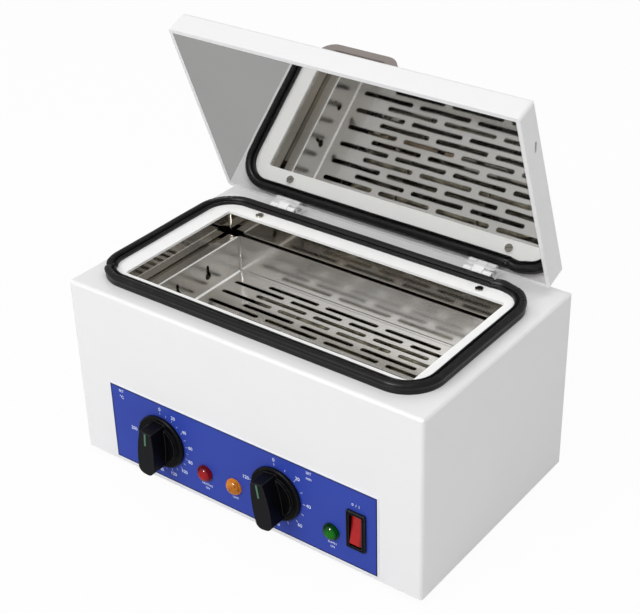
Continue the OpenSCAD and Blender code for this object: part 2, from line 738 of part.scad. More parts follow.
// The gasket's section, outwards from the corner's middle. A bulb stands on a foot beside the rim, and
// a thin lip on the rim, with a deep groove between the two.
module gasket_section() {
  inner = gasket_r - gasket_w;
  step = inner + rim_under + 0.1;
  difference() {
    union() {
      translate([gasket_r - gasket_bulb, gasket_h - gasket_bulb]) circle(gasket_bulb);
      translate([gasket_r - 2*gasket_bulb, 0]) square([2*gasket_bulb - 0.6, gasket_h - gasket_bulb]);
      translate([inner, 0]) square([gasket_w - gasket_bulb, rim_h + gasket_web]);
      translate([inner, rim_h]) square([gasket_lip, gasket_lip_h - rim_h - gasket_lip/2]);
      translate([inner + gasket_lip/2, gasket_lip_h - gasket_lip/2]) circle(gasket_lip/2);
    }
    translate([0, -1]) square([step, rim_h + 1]);
  }
}

module lid_gasket() {
  color([0.07, 0.07, 0.07]) translate([-gasket_x, gasket_y, top_z])
    section_ring(gasket_outer_w, gasket_d, gasket_r) gasket_section();
}

// Control panel

module panel_cuts() {
  for (x = [thermostat_x, timer_x]) on_front(x, knob_up) translate([0, 0, -1])
    cylinder(h = 4, r = neck_r + 0.2);
  for (x = [red_x, orange_x, green_x]) on_front(x, lamp_up) translate([0, 0, -1])
    cylinder(h = 4, r = lamp_r + fit);
  on_front(switch_x, switch_up) translate([0, 0, -1])
    linear_extrude(4) square([switch_w - 1.8, switch_h - 2.6], center = true);
}

module control_panel() {
  color([0.2, 0.29, 0.62]) difference() {
    on_front(panel_x, base_z + panel_z + panel_h/2)
      linear_extrude(panel_t) round_rect(panel_w, panel_h, 1.2);
    panel_cuts();
  }
}

// The outline of a knob's bar: two bows that lean together towards the pointer, cut off there and
// rounded at the other end
module bar_outline() {
  bow = (bar_w - bar_tip_w)/2;
  bow_r = ((bar_tip + bar_low)^2 + bow^2)/(2*bow);
  intersection() {
    translate([bow_r - bar_w/2, -bar_low]) circle(bow_r);
    translate([bar_w/2 - bow_r, -bar_low]) circle(bow_r);
    translate([0, (bar_tip - bar_tail)/2]) union() {
      round_rect(bar_w, bar_tip + bar_tail, bar_tail_r);
      translate([-bar_w/2, 0]) square([bar_w, (bar_tip + bar_tail)/2]);
    }
  }
}

// A knob drawn facing up, with its pointer towards +Y
module knob_form() {
  base = panel_t + knob_gap;
  translate([0, 0, base]) rotate_extrude() union() {
    polygon([[0, 0], [knob_r, 0], [knob_r, skirt_t - 0.8], [knob_r - 0.8, skirt_t], [0, skirt_t]]);
    square([step_r, skirt_t + 2]);
  }
  translate([0, 0, base]) linear_extrude(knob_h - base) bar_outline();
}

module pointer_form(grow, deep) {
  start = 6.5;
  translate([-0.7 - grow, start - grow, knob_h - deep])
    cube([1.4 + 2*grow, bar_tip - 0.8 - start + 2*grow, deep + grow]);
}

module knob(x, turn, shade) {
  color(shade) on_front(x, knob_up) rotate(-turn) difference() {
    knob_form();
    pointer_form(0.02, 0.52);
    difference() {
      cylinder(h = knob_bore, r = spindle_r + run);
      translate([-5, spindle_r - 1 + run, -1]) cube([10, 5, 30]);
    }
  }
}

module pointer(x, turn) {
  color([0.35, 0.62, 0.45]) on_front(x, knob_up) rotate(-turn) pointer_form(0, 0.5);
}

knob_bore = 12;

module spindle(x, turn) {
  on_front(x, knob_up) rotate(-turn) difference() {
    translate([0, 0, -8]) cylinder(h = 8 + knob_bore - 1, r = spindle_r);
    translate([-5, spindle_r - 1, 0]) cube([10, 5, 30]);
  }
}

// The switchgear behind the panel: a box, a threaded neck with its nut, and lugs for wires
module dial_body(x, w, h, d) {
  lug = 8;
  on_front(x, knob_up) difference() {
    union() {
      translate([0, 0, -sheet_t - d]) linear_extrude(d) round_rect(w, h, 3);
      translate([0, 0, -sheet_t - eps]) cylinder(h = sheet_t + panel_t + eps, r = neck_r);
      for (s = [-1, 1])
        translate([s*w/4 - 0.4, -h/4 - lug/2, -sheet_t - d - lug + 1]) cube([0.8, 6.3, lug]);
    }
    translate([0, 0, -20]) cylinder(h = 30, r = spindle_r + run);
  }
}

module thermostat_body() {
  color([0.85, 0.83, 0.78]) dial_body(thermostat_x, thermostat_case_w, thermostat_case_h, thermostat_case_d);
}

module timer_body() { color([0.88, 0.88, 0.86]) dial_body(timer_x, timer_case, timer_case, timer_case_d); }

module thermostat_knob() {
  knob(thermostat_x, thermostat_turn, [0.06, 0.06, 0.06]);
  color([0.7, 0.7, 0.7]) spindle(thermostat_x, thermostat_turn);
}

module timer_knob() {
  knob(timer_x, timer_turn, [0.06, 0.06, 0.06]);
  color([0.7, 0.7, 0.7]) spindle(timer_x, timer_turn);
}

module thermostat_pointer() { pointer(thermostat_x, thermostat_turn); }

module timer_pointer() { pointer(timer_x, timer_turn); }

module lens(x, shade) {
  dome = 5.4;
  color(shade) on_front(x, lamp_up) translate([0, 0, panel_t]) rotate_extrude() difference() {
    union() {
      square([lens_r, 1.2]);
      square([dome, lens_h - 2.6]);
      intersection() {
        translate([0, lens_h - 7.4]) circle(7.4);
        square([dome, lens_h]);
      }
    }
    translate([-1, -1]) square([4.6, 3.2]);
  }
}

module red_lens() { lens(red_x, [0.75, 0.08, 0.08]); }

module orange_lens() { lens(orange_x, [0.95, 0.5, 0.12]); }

module green_lens() { lens(green_x, [0.1, 0.5, 0.2]); }

module lamp_bodies() {
  color([0.9, 0.9, 0.88]) for (x = [red_x, orange_x, green_x]) on_front(x, lamp_up) {
    translate([0, 0, -lamp_l]) cylinder(h = lamp_l + panel_t, r = lamp_r);
    translate([0, 0, panel_t - eps]) cylinder(h = 2, r = 3.4);
    translate([0, 0, -sheet_t - 2.4]) cylinder(h = 2.4, r = 6.6);
    for (s = [-1, 1]) translate([s*2 - 0.3, -1.4, -lamp_l - 7]) cube([0.6, 2.8, 8]);
  }
}

// Switch. The rocker turns about X behind the frame.
rocker_axis = -rocker_deep;
window_w = rocker_w + 2*fit + 0.2;
window_h = 2*(rocker_r + fit);

module switch_frame() {
  color([0.08, 0.08, 0.08]) on_front(switch_x, switch_up) difference() {
    union() {
      translate([0, 0, panel_t]) linear_extrude(switch_out - 0.6) round_rect(switch_w, switch_h, 1.5);
      translate([0, 0, panel_t + switch_out - 0.6 - eps])
        linear_extrude(0.6 + eps) round_rect(switch_w - 1, switch_h - 1, 1);
      translate([0, 0, -18]) linear_extrude(18 + panel_t + eps)
        square([switch_w - 1.8 - fit, switch_h - 2.6 - fit], center = true);
      for (y = [-8, 0, 8]) translate([-0.4, y - 2.4, -26]) cube([0.8, 4.8, 9]);
    }
    translate([0, 0, -9]) linear_extrude(20) square([window_w, window_h], center = true);
    translate([-window_w/2 - 0.7, 0, rocker_axis]) rotate([0, 90, 0])
      cylinder(h = window_w + 1.4, r = 1.2 + run);
  }
}

module rocker_outline() {
  face = rocker_deep;
  back = 2;
  intersection() {
    circle(rocker_r);
    difference() {
      translate([-back, -rocker_r]) square([back + face + 4, 2*rocker_r]);
      for (s = [0, 1]) mirror([0, s]) translate([face, 0]) rotate(-rocker_slope) translate([0, -1])
        square([8, 2*rocker_r]);
    }
  }
}

module switch_rocker() {
  color([0.8, 0.08, 0.08]) on_front(switch_x, switch_up) translate([0, 0, rocker_axis])
    rotate([-rocker_tilt, 0, 0]) {
      rotate([0, -90, 0]) linear_extrude(rocker_w, center = true) rocker_outline();
      translate([-window_w/2 - 0.5, 0, 0]) rotate([0, 90, 0]) cylinder(h = window_w + 1, r = 1.2);
    }
}

// Mains inlet and wiring

module mains_inlet() {
  color([0.08, 0.08, 0.08]) on_back(inlet_x, inlet_up) difference() {
    union() {
      linear_extrude(inlet_t) round_rect(inlet_w, inlet_h, 4);
      translate([0, 0, -16]) linear_extrude(16.5) round_rect(27.4, 19.8, 2);
    }
    translate([0, 0, -14]) linear_extrude(20) polygon([
      [-12, -8], [12, -8], [12, 3.5], [7.5, 8], [-7.5, 8], [-12, 3.5]
    ]);
    for (s = [-1, 1]) translate([s*20, 0, -1]) cylinder(h = 5, r = 1.6);
    for (p = inlet_pin_places) translate([p[0] - 1, p[1] - 2, -17]) cube([2, 4, 5]);
  }
}

inlet_pin_places = [[-7, -2], [0, 2], [7, -2]];

module inlet_pins() {
  color([0.8, 0.72, 0.45]) on_back(inlet_x, inlet_up)
    for (p = inlet_pin_places) translate([p[0] - 1, p[1] - 2, -23]) cube([2, 4, 21]);
}

module inlet_screws() {
  color([0.75, 0.75, 0.77]) for (s = [-1, 1]) on_back(inlet_x + s*20, inlet_up)
    translate([0, 0, inlet_t]) screw(8, 1.5, 2.8, inlet_head);
}

terminal_hole_x = terminal_l/2 - 6;

module terminal_place(z) { translate([inlet_x - inlet_in, inner_back - terminal_in, z]) children(); }

module terminal_block() {
  foot_t = 8;
  w = terminal_pitch - 2;
  color([0.9, 0.9, 0.88]) terminal_place(plate_top) difference() {
    union() {
      translate([-terminal_l/2, -terminal_w/2, 0]) cube([terminal_l, terminal_w, foot_t]);
      for (k = [-1, 0, 1]) translate([k*terminal_pitch - w/2, -6, foot_t - 1]) cube([w, 12, 6]);
    }
    for (x = [-1, 1]) translate([x*terminal_hole_x, 0, -1]) cylinder(h = 20, r = 1.6);
    for (k = [-1, 0, 1]) translate([k*terminal_pitch, 0, foot_t - 1]) cylinder(h = 10, r = 2.1);
  }
}

module terminal_screws() {
  color([0.8, 0.72, 0.45]) terminal_place(plate_top)
    for (k = [-1, 0, 1]) translate([k*terminal_pitch, 0, 11]) screw(3.5, 1.5, 2, 1);
}

module earth_bolt() {
  color([0.8, 0.72, 0.45]) translate([inlet_x - 30, inner_back - 35, 0]) {
    translate([0, 0, base_z - 1.4]) cylinder(h = 16, r = screw_r);
    translate([0, 0, base_z - 1.4]) cylinder(h = 1.4, r = 3.6);
    translate([0, 0, plate_top]) cylinder(h = 3, r = 4, $fn = 6);
  }
}

// Hinges, drawn for the closed lid. Two knuckles are the casing's and one is the lid's.
knuckle_gap = 0.4;
side_knuckle = (hinge_w - 2*knuckle_gap)*0.3;
mid_knuckle = hinge_w - 2*knuckle_gap - 2*side_knuckle;

module knuckle(x, l) {
  translate([x, hinge_y, hinge_z]) rotate([0, 90, 0]) cylinder(h = l, r = knuckle_r);
}

module pin_bore() {
  translate([-hinge_w, hinge_y, hinge_z]) rotate([0, 90, 0]) cylinder(h = 2*hinge_w, r = pin_r + run);
}

module hinge_base() {
  color([0.92, 0.92, 0.93]) difference() {
    union() {
      translate([-hinge_w/2, hinge_y, top_z]) cube([hinge_w, base_leaf, leaf_t]);
      for (x = [-hinge_w/2, hinge_w/2 - side_knuckle]) {
        knuckle(x, side_knuckle);
        translate([x, hinge_y, top_z]) cube([side_knuckle, knuckle_r - 0.2, hinge_up]);
      }
    }
    pin_bore();
    for (x = [-1, 1]) translate([x*(hinge_w/2 - 5), hinge_y + base_leaf - 4.5, top_z - 1])
      cylinder(h = 5, r = 1.6);
  }
}

module hinge_leaf() {
  color([0.92, 0.92, 0.93]) difference() {
    union() {
      translate([-hinge_w/2, lid_back_y, hinge_z + knuckle_r + knuckle_gap])
        cube([hinge_w, leaf_t, lid_leaf - knuckle_r - knuckle_gap + 2]);
      translate([-mid_knuckle/2, lid_back_y, hinge_z]) cube([mid_knuckle, leaf_t, lid_leaf]);
      knuckle(-mid_knuckle/2, mid_knuckle);
    }
    pin_bore();
    for (x = [-1, 1]) translate([x*(hinge_w/2 - 5), lid_back_y - 1, leaf_screw_z])
      rotate([-90, 0, 0]) cylinder(h = 5, r = 1.6);
  }
}

leaf_screw_z = hinge_z + lid_leaf - 2.5;

module hinge_pin() {
  color([0.6, 0.6, 0.62]) translate([-hinge_w/2 + 0.8, hinge_y, hinge_z]) rotate([0, 90, 0])
    cylinder(h = hinge_w - 1.6, r = pin_r);
}

module left_hinge_base() { translate([-hinge_x, 0, 0]) hinge_base(); }

module right_hinge_base() { translate([hinge_x, 0, 0]) hinge_base(); }

module left_hinge_pin() { translate([-hinge_x, 0, 0]) hinge_pin(); }

module right_hinge_pin() { translate([hinge_x, 0, 0]) hinge_pin(); }

module left_hinge_leaf() { on_lid() translate([-hinge_x, 0, 0]) hinge_leaf(); }

module right_hinge_leaf() { on_lid() translate([hinge_x, 0, 0]) hinge_leaf(); }

module hinge_base_screws() {
  color([0.85, 0.85, 0.86]) hinge_places() for (x = [-1, 1])
    translate([x*(hinge_w/2 - 5), hinge_y + base_leaf - 4.5, top_z + leaf_t]) screw(7, 1.25, 2.6, 1.2);
}

module hinge_lid_screws() {
  color([0.85, 0.85, 0.86]) on_lid() hinge_places() for (x = [-1, 1])
    translate([x*(hinge_w/2 - 5), lid_back_y + leaf_t, leaf_screw_z]) rotate([-90, 0, 0])
      screw(6, 1.25, 2.6, 1.2);
}

// Lid, drawn closed

module lid_screw_holes(r) {
  hinge_places() for (x = [-1, 1])
    translate([x*(hinge_w/2 - 5), lid_back_y - 8, leaf_screw_z]) rotate([-90, 0, 0])
      cylinder(h = 12, r = r);
}

handle_mid = lid_back_y - lid_d + handle_y;
handle_screw_x = handle_l/2 - handle_leg/2;

module lid_shell() {
  t = sheet_t;
  inner_w = lid_w - 2*t;
  inner_d = lid_d - 2*t;
  on_lid() color([0.93, 0.93, 0.94]) difference() {
    translate([0, lid_mid_y, lid_z]) difference() {
      intersection() {
        translate([0, 0, -bend_r]) round_block(lid_w, lid_d, lid_t + bend_r, bend_r);
        linear_extrude(lid_t + 1) square([lid_w + 1, lid_d + 1], center = true);
      }
      translate([0, 0, t]) linear_extrude(lid_t - 2*t) round_rect(inner_w, inner_d, bend_r - t);
      translate([0, 0, -1]) linear_extrude(5) square([lid_w - 2*lid_lip, lid_d - 2*lid_lip], center = true);
      for (s = [-1, 1])
        translate([s*lid_w/2, -lid_d/2 + side_slot_y, lid_t*0.6]) rotate([0, 0, 90]) rotate([90, 0, 0])
          linear_extrude(6, center = true) rotate(s*-19) slot(side_slot_l, side_slot_w);
    }
    lid_screw_holes(1.3);
    for (s = [-1, 1]) translate([s*handle_screw_x, handle_mid, lid_z + lid_t - 4]) cylinder(h = 8, r = 2.2);
  }
}

module lid_mirror() {
  t = mirror_t;
  w = lid_w - 2*lid_lip - 0.2;
  d = lid_d - 2*lid_lip - 0.2;
  on_lid() color([0.8, 0.8, 0.79]) translate([0, lid_mid_y, lid_z]) difference() {
    linear_extrude(mirror_edge) square([w, d], center = true);
    translate([0, 0, t]) linear_extrude(mirror_edge) square([w - 2*t, d - 2*t], center = true);
  }
}

module lid_insulation() {
  w = lid_w - 2*lid_lip - 2*mirror_t - 1;
  d = lid_d - 2*lid_lip - 2*mirror_t - 1;
  on_lid() color([0.86, 0.84, 0.74]) difference() {
    translate([0, lid_mid_y, lid_z + mirror_t]) linear_extrude(lid_t - sheet_t - mirror_t)
      square([w, d], center = true);
    for (s = [-1, 1]) translate([s*handle_screw_x, handle_mid, lid_z + mirror_t + 2])
      cylinder(h = lid_t, r = 5);
    lid_screw_holes(2);
  }
}

module lid_handle() {
  on_lid() color([0.52, 0.48, 0.46]) difference() {
    translate([0, handle_mid, lid_z + lid_t]) rotate([90, 0, 0])
      linear_extrude(handle_w, center = true) difference() {
        intersection() {
          round_rect(handle_l, 2*handle_h, handle_r);
          translate([-handle_l, 0]) square([2*handle_l, handle_h]);
        }
        round_rect(handle_l - 2*handle_leg, 2*(handle_h - handle_t), handle_r - handle_t);
      }
    for (s = [-1, 1]) translate([s*handle_screw_x, handle_mid, lid_z + lid_t - 1])
      cylinder(h = 9, r = screw_r - 0.1);
  }
}

module handle_screws() {
  on_lid() color([0.75, 0.75, 0.77]) for (s = [-1, 1])
    translate([s*handle_screw_x, handle_mid, lid_z + lid_t - sheet_t]) mirror([0, 0, 1])
      screw(8, screw_r - 0.1 - eps, 3.6, 1.8);
}

outer_casing();
base_plate();
feet();
foot_screws();
base_plate_screws();
chamber_rim();
chamber_tub();
rim_screws();
chamber_insulation();
tray_rests();
slotted_tray();
heating_element();
element_clips();
temperature_sensor();
sensor_clips();
capillary_tube();
overheat_cutout();
lid_gasket();
control_panel();
thermostat_body();
thermostat_knob();
thermostat_pointer();
timer_body();
timer_knob();
timer_pointer();
red_lens();
orange_lens();
green_lens();
lamp_bodies();
switch_frame();
switch_rocker();
mains_inlet();
inlet_pins();
inlet_screws();
terminal_block();
terminal_screws();
earth_bolt();
left_hinge_base();
right_hinge_base();
left_hinge_pin();
right_hinge_pin();
left_hinge_leaf();
right_hinge_leaf();
hinge_base_screws();
hinge_lid_screws();
lid_shell();
lid_mirror();
lid_insulation();
lid_handle();
handle_screws();
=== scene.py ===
import json
import math
import bpy
import numpy as np
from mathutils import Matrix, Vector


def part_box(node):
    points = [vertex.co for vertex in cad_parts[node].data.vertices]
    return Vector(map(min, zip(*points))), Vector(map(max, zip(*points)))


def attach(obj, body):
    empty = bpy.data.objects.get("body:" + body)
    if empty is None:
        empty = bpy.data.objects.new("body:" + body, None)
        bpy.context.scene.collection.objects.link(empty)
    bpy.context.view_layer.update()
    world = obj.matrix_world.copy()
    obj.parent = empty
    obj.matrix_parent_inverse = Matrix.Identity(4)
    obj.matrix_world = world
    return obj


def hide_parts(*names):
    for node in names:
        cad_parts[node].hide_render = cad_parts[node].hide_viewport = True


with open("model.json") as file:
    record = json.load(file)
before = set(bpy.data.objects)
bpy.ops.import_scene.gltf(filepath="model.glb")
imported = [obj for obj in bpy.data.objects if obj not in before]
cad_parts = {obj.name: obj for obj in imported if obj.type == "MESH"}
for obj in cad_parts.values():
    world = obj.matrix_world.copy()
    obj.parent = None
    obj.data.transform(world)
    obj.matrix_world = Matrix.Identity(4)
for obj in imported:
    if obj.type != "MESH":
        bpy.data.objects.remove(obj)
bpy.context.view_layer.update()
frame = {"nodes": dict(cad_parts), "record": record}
print("frame loaded,", len(frame["nodes"]), "nodes")

# lengths are in mm unless a note says otherwise
mm = 0.001


def nodeBox(node):
    # the lowest and the highest corner of a CAD node
    return [np.array(corner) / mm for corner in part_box(node)]


def nodeMiddle(node):
    # the middle of a CAD node, to a tenth
    return np.round(np.mean(nodeBox(node), 0), 1)


def nodeSize(node):
    # the width, depth and height of a CAD node, to a tenth
    low, high = nodeBox(node)
    return np.round(high - low, 1)


panelFace = nodeBox("control_panel")[0][1]
knobFace = nodeBox("thermostat_knob")[0][1]
caseTop = nodeBox("outer_casing")[1][2]


# camera

view = {"place": (540.48, -691.69, 660.06), "turn": (59.0276, 1.3507, 36.794), "lens": 82.59,
        "sensor": 36.0, "near": 50.0}


def makeCamera():
    data = bpy.data.cameras.new("photoCamera")
    data.lens = view["lens"]
    data.sensor_width = view["sensor"]
    data.sensor_fit = "HORIZONTAL"
    data.clip_start = view["near"] * mm
    cam = bpy.data.objects.new("photoCamera", data)
    cam.location = [v * mm for v in view["place"]]
    cam.rotation_euler = [math.radians(v) for v in view["turn"]]
    bpy.context.scene.collection.objects.link(cam)
    bpy.context.scene.camera = cam


makeCamera()
print("camera set")


# shader nodes

class Wire:
    # one output of a shader node; its sums and products add Math nodes
    def __init__(self, graph, socket):
        self.graph = graph
        self.socket = socket

    def math(self, operation, *others):
        inputs = dict(enumerate((self, *others)))
        return self.graph.put("ShaderNodeMath", {"operation": operation}, inputs)

    def __add__(self, other):
        return self.math("ADD", other)

    def __radd__(self, other):
        return self.math("ADD", other)

    def __sub__(self, other):
        return self.math("SUBTRACT", other)

    def __rsub__(self, other):
        return self.graph.put("ShaderNodeMath", {"operation": "SUBTRACT"}, {0: other, 1: self})

    def __mul__(self, other):
        return self.math("MULTIPLY", other)

    def __rmul__(self, other):
        return self.math("MULTIPLY", other)

    def __neg__(self):
        return self.math("MULTIPLY", -1.0)

    def __truediv__(self, other):
        return self.math("DIVIDE", other)

    def __pow__(self, other):
        return self.math("POWER", other)

    def least(self, other):
        return self.math("MINIMUM", other)

    def most(self, other):
        return self.math("MAXIMUM", other)

    def size(self):
        return self.math("ABSOLUTE")

    def soft(self, low, high):
        # 0 below low, 1 above high, smooth between
        inputs = {"Value": self, "From Min": low, "From Max": high}
        return self.graph.put("ShaderNodeMapRange", {"interpolation_type": "SMOOTHSTEP"}, inputs)

    def near(self, low, high):
        # 1 below low, 0 above high, smooth between
        return 1.0 - self.soft(low, high)

    def reach(self, start, span):
        # start where the wire is 0, start + span where it is 1
        return start + self * span


class Graph:
    # a tree of shader nodes
    def __init__(self, tree):
        self.tree = tree

    def feed(self, socket, value):
        # links a wire to the socket, or sets a plain value; a colour gets its alpha here
        if isinstance(value, Wire):
            self.tree.links.new(value.socket, socket)
        elif socket.type == "RGBA":
            socket.default_value = (*value, 1.0)
        else:
            socket.default_value = value

    def put(self, kind, settings=None, inputs=None, out=0):
        # any node: its settings first, then the values or links of its sockets
        node = self.tree.nodes.new(kind)
        for key, value in (settings or {}).items():
            setattr(node, key, value)
        for key, value in (inputs or {}).items():
            self.feed(node.inputs[key], value)
        return Wire(self, node.outputs[out])

    def vector(self, operation, first, second, out=0):
        return self.put("ShaderNodeVectorMath", {"operation": operation}, {0: first, 1: second}, out)


class Finish(Graph):
    # a material with its Principled shader, filled in by the functions below
    sockets = {"colour": "Base Color", "metal": "Metallic", "rough": "Roughness", "ior": "IOR",
               "specular": "Specular IOR Level", "coat": "Coat Weight", "coatRough": "Coat Roughness",
               "sheen": "Sheen Weight", "glow": "Emission Color", "glowStrength": "Emission Strength",
               "normal": "Normal"}

    def __init__(self, name, **plain):
        self.material = bpy.data.materials.new(name)
        self.material.use_nodes = True
        super().__init__(self.material.node_tree)
        self.shader = self.tree.nodes["Principled BSDF"]
        for key, value in plain.items():
            self.set(key, value)

    def set(self, key, value):
        self.feed(self.shader.inputs[self.sockets[key]], value)

    def place(self, centre=(0, 0, 0), stretch=(1, 1, 1)):
        # a place on the piece in mm, counted from centre and stretched
        spot = self.put("ShaderNodeTexCoord", out="Object")
        spot = self.vector("MULTIPLY", spot, (1 / mm, 1 / mm, 1 / mm))
        spot = self.vector("SUBTRACT", spot, centre)
        return self.vector("MULTIPLY", spot, stretch)

    def parts(self, spot, axes):
        # a place's part along each of the axes, such as its x and its z for XZ
        return [self.put("ShaderNodeSeparateXYZ", {}, {0: spot}, axis) for axis in axes]

    def noise(self, grain, spot=None, detail=2.0, rough=0.5):
        # cloudy noise whose lumps are about grain mm across
        spot = spot or self.place()
        inputs = {"Vector": spot, "Scale": 1.0 / grain, "Detail": detail, "Roughness": rough}
        return self.put("ShaderNodeTexNoise", {}, inputs)

    def blend(self, mask, first, second):
        # a colour that goes from first to second as mask goes from 0 to 1;
        # a Mix node has its colours at sockets 6 and 7 and gives the mixed one at output 2
        return self.put("ShaderNodeMix", {"data_type": "RGBA"}, {0: mask, 6: first, 7: second}, 2)

    def bevel(self, width):
        # the normal of the surface with its edges rounded over width mm
        return self.put("ShaderNodeBevel", {"samples": 4}, {"Radius": width * mm})

    def edges(self, width):
        # 0 on flat faces, rising to an edge that lies within width mm
        flat = self.put("ShaderNodeNewGeometry", out="Normal")
        return 1.0 - self.vector("DOT_PRODUCT", self.bevel(width), flat, "Value")

    def relief(self, height, depth, edge=0.0):
        # bump whose full height is depth mm, over edges softened by edge mm
        inputs = {"Strength": 1.0, "Distance": depth * mm, "Height": height}
        if edge:
            inputs["Normal"] = self.bevel(edge)
        self.set("normal", self.put("ShaderNodeBump", {}, inputs))


# finishes, one function for each
# in a look, a pair such as rough holds the value where the clouds are 0 and what they add, and a
# pair such as speckEdge holds where a soft edge starts and ends

def cloudyFinish(name, light, dark, clouds, rough, detail=3, step=None, grain=None, **plain):
    # two tones in clouds, a roughness that follows them and, where it has one, a fine grain
    f = Finish(name, **plain)
    cloud = f.noise(clouds, detail=detail)
    f.set("colour", f.blend(cloud.soft(*step) if step else cloud, light, dark))
    f.set("rough", cloud.reach(*rough))
    if grain:
        f.relief(f.noise(grain["size"], detail=grain["detail"]), grain["depth"])
    return f


def whiteEnamel(name="whiteEnamel", light=(0.86, 0.86, 0.865), dull=(0.82, 0.82, 0.825)):
    # stoved enamel: slow clouds, rare specks, and the orange peel and waves of a sprayed coat
    look = {"clouds": 60, "cloudShare": 0.6, "specks": 0.8, "speckEdge": (0.70, 0.76), "speckShare": 0.35,
            "rough": (0.26, 0.16), "coat": (0.25, 0.2), "coatRough": 0.12, "peel": 1.6, "waves": 14,
            "waveShare": 2.0, "depth": 0.012}
    f = Finish(name, specular=0.5, coatRough=look["coatRough"])
    cloud = f.noise(look["clouds"], detail=3)
    speck = f.noise(look["specks"]).soft(*look["speckEdge"])
    f.set("colour", f.blend(cloud * look["cloudShare"] + speck * look["speckShare"], light, dull))
    f.set("rough", cloud.reach(*look["rough"]))
    f.set("coat", cloud.reach(*look["coat"]))
    f.relief(f.noise(look["peel"], detail=1) + f.noise(look["waves"]) * look["waveShare"], look["depth"])
    return f


def paintedLitRimEnamel():
    # painted light: a lighter copy of the casing's enamel, standing in for light where the open lid shades
    # the rim
    return whiteEnamel("paintedLitRimEnamel", light=(0.97, 0.97, 0.965), dull=(0.94, 0.94, 0.93))


def sheetSteel(name, light, dark, rough, lineStretch, tint, brush):
    # rolled stainless: fine lines along the sheet, faint clouds and heat tint
    look = {"lines": 1.0, "lineShare": 0.25, "lineDepth": 0.004, "clouds": 38, "cloudShare": 0.8,
            "cloudRough": 0.06, "warmClouds": 70, "warmPlace": (13, 7, 3), "warmEdge": (0.40, 0.75),
            "warmth": (0.52, 0.46, 0.37)}
    f = Finish(name, metal=1.0)
    lines = f.noise(look["lines"], f.place(stretch=lineStretch), detail=4, rough=0.65)
    cloud = f.noise(look["clouds"], detail=3)
    warm = f.noise(look["warmClouds"], f.place(look["warmPlace"])).soft(*look["warmEdge"])
    plain = f.blend(cloud * look["cloudShare"] + lines * look["lineShare"], light, dark)
    f.steel = f.blend(warm * tint, plain, look["warmth"])
    f.set("colour", f.steel)
    f.set("rough", rough + lines * brush + cloud * look["cloudRough"])
    f.relief(lines, look["lineDepth"])
    return f


def tubSteel():
    # painted shade: this steel is darker and browner than the tray's, standing in for the shade on the
    # chamber's walls
    return sheetSteel("tubSteel", light=(0.54, 0.518, 0.48), dark=(0.30, 0.28, 0.245), rough=0.025,
                      lineStretch=(0.03, 0.03, 2.2), tint=0.45, brush=0.05)


def traySteel():
    # painted light and shade: the end folds and the lip are painted bright and less metallic as highlights,
    # and the long folds are painted darker as shade
    look = {"wall": 0.8, "flange": 7.6, "shadeEdge": (1.3, 1.8), "floorEdge": (1.1, 1.4),
            "lipEdge": (0.8, 1.1), "topEdge": (-0.9, -0.5), "bright": (0.97, 0.97, 0.96),
            "shade": (0.56, 0.55, 0.53), "lessMetal": 0.9}
    low, high = nodeBox("slotted_tray")
    halfWidth, halfDepth = (high - low)[:2] / 2 - look["wall"] - np.array([look["flange"], 0])
    middleX, middleY = nodeMiddle("slotted_tray")[:2]
    floor = low[2] + look["wall"]
    f = sheetSteel("traySteel", light=(0.84, 0.83, 0.81), dark=(0.70, 0.69, 0.67), rough=0.12,
                   lineStretch=(0.03, 2.0, 2.0), tint=0.28, brush=0.10)
    x, y, z = f.parts(f.place((middleX, middleY, floor)), "XYZ")
    endGap = (halfWidth - x.size()).size()
    sideGap = (halfDepth - y.size()).size()
    # painted shade on the long folds, at the floor and in the corners
    sides = sideGap.near(*look["shadeEdge"])
    shaded = sides * z.near(*look["shadeEdge"]).most(endGap.near(*look["shadeEdge"]))
    # painted highlight on the end folds, at the floor and at the lip
    atFloor = endGap.near(*look["floorEdge"]) * z.near(*look["floorEdge"])
    atLip = endGap.near(*look["lipEdge"]) * (z - (high[2] - floor)).soft(*look["topEdge"])
    bright = atFloor.most(atLip) * (1.0 - sides)
    f.set("colour", f.blend(bright, f.blend(shaded, f.steel, look["shade"]), look["bright"]))
    f.set("metal", 1.0 - bright * look["lessMetal"])
    return f


def mirrorSteel():
    # polished lining: long scratches and the slow waves of a thin sheet
    look = {"light": (0.72, 0.72, 0.71), "dull": (0.66, 0.66, 0.65), "clouds": 55, "scratches": 1.0,
            "stretch": (0.05, 3.0, 3.0), "scratchEdge": (0.5, 0.8), "rough": (0.025, 0.05), "waves": 42,
            "depth": 0.05}
    f = Finish("mirrorSteel", metal=1.0)
    cloud = f.noise(look["clouds"], detail=3)
    scratch = f.noise(look["scratches"], f.place(stretch=look["stretch"]), detail=3)
    f.set("colour", f.blend(cloud, look["light"], look["dull"]))
    f.set("rough", scratch.soft(*look["scratchEdge"]).reach(*look["rough"]))
    f.relief(f.noise(look["waves"], detail=1), look["depth"])
    return f


def zincSteel():
    return cloudyFinish("zincSteel", light=(0.62, 0.62, 0.62), dark=(0.45, 0.45, 0.46), clouds=3.0,
                        rough=(0.22, 0.2), grain={"size": 0.5, "detail": 2, "depth": 0.01}, metal=1.0)


def heaterSheath():
    return cloudyFinish("heaterSheath", light=(0.42, 0.39, 0.29), dark=(0.20, 0.18, 0.14), clouds=9,
                        detail=4, step=(0.35, 0.65), rough=(0.34, 0.25),
                        grain={"size": 0.7, "detail": 2, "depth": 0.02}, metal=1.0)


def copperSheath():
    return cloudyFinish("copperSheath", light=(0.50, 0.40, 0.28), dark=(0.30, 0.23, 0.16), clouds=6,
                        rough=(0.28, 0.2), grain={"size": 0.6, "detail": 2, "depth": 0.01}, metal=1.0)


def brassFinish():
    return cloudyFinish("brassFinish", light=(0.72, 0.56, 0.25), dark=(0.52, 0.38, 0.16), clouds=4,
                        rough=(0.25, 0.2), grain={"size": 0.6, "detail": 2, "depth": 0.01}, metal=1.0)


